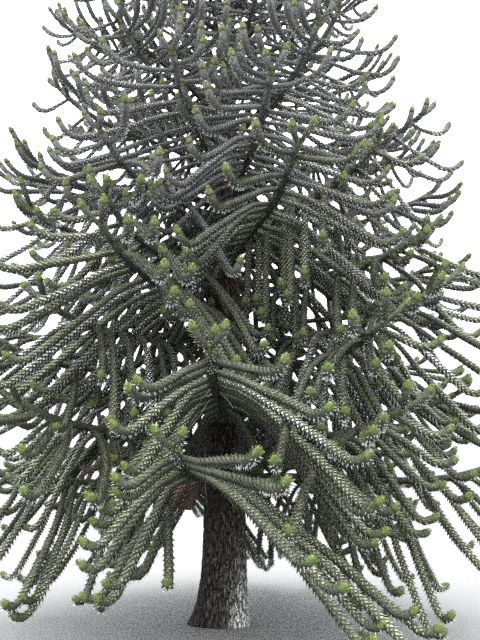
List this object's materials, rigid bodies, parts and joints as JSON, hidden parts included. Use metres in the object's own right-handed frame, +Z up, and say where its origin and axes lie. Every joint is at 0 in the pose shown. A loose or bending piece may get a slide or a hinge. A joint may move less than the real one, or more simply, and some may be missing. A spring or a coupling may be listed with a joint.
{
  "type": "monkey puzzle tree",
  "caption": "Whole conical evergreen tree with a straight trunk, whorled boughs and long rope-like shoots of stiff scale leaves; roots in level ground.",
  "frame": {"origin": "the middle of the trunk's flat cut at ground level", "axes": "+Z up along the trunk, -Y towards the front that the picture shows, +X to its right"},
  "size_m": [6.6429, 7.2583, 11.0023],
  "materials": {
    "bark": "rough grey-brown bark with leaf scars and fissures, pale lichen at the foot",
    "limb_bark": "dark rough bark of the bare inner boughs",
    "foliage": "stiff, dull dark green scale leaves",
    "young_foliage": "fresh yellow-green leaves at the shoot tips",
    "dead_foliage": "dry red-brown dead leaves",
    "dead_twigs": "thin bare grey dead twigs"
  },
  "bodies": {
    "root": {"bough_01": "limb_bark", "bough_02": "limb_bark", "bough_03": "limb_bark", "bough_04": "limb_bark", "bough_05": "limb_bark", "bough_06": "limb_bark", "bough_07": "limb_bark", "bough_08": "limb_bark", "bough_09": "limb_bark", "bough_10": "limb_bark", "bough_11": "limb_bark", "bough_12": "limb_bark", "bough_13": "limb_bark", "bough_14": "limb_bark", "bough_15": "limb_bark", "bough_16": "limb_bark", "foliage_01": "foliage", "foliage_02": "foliage", "foliage_03": "foliage", "foliage_04": "foliage", "foliage_05": "foliage", "foliage_06": "foliage", "foliage_07": "foliage", "foliage_08": "foliage", "foliage_09": "foliage", "foliage_10": "foliage", "foliage_11": "foliage", "foliage_12": "foliage", "foliage_13": "foliage", "foliage_14": "foliage", "foliage_15": "foliage", "foliage_16": "foliage", "foliage_17": "foliage", "foliage_18": "foliage", "foliage_19": "foliage", "foliage_20": "foliage", "foliage_21": "foliage", "foliage_22": "foliage", "foliage_23": "foliage", "foliage_24": "foliage", "foliage_25": "foliage", "foliage_26": "foliage", "foliage_27": "foliage", "foliage_28": "foliage", "foliage_29": "foliage", "foliage_30": "foliage", "foliage_31": "foliage", "foliage_32": "foliage", "foliage_33": "foliage", "foliage_34": "foliage", "foliage_35": "foliage", "foliage_36": "foliage", "foliage_37": "foliage", "foliage_38": "foliage", "foliage_39": "foliage", "foliage_40": "foliage", "foliage_41": "foliage", "foliage_42": "foliage", "foliage_top": "foliage", "trunk": "bark"}
  },
  "joints": []
}
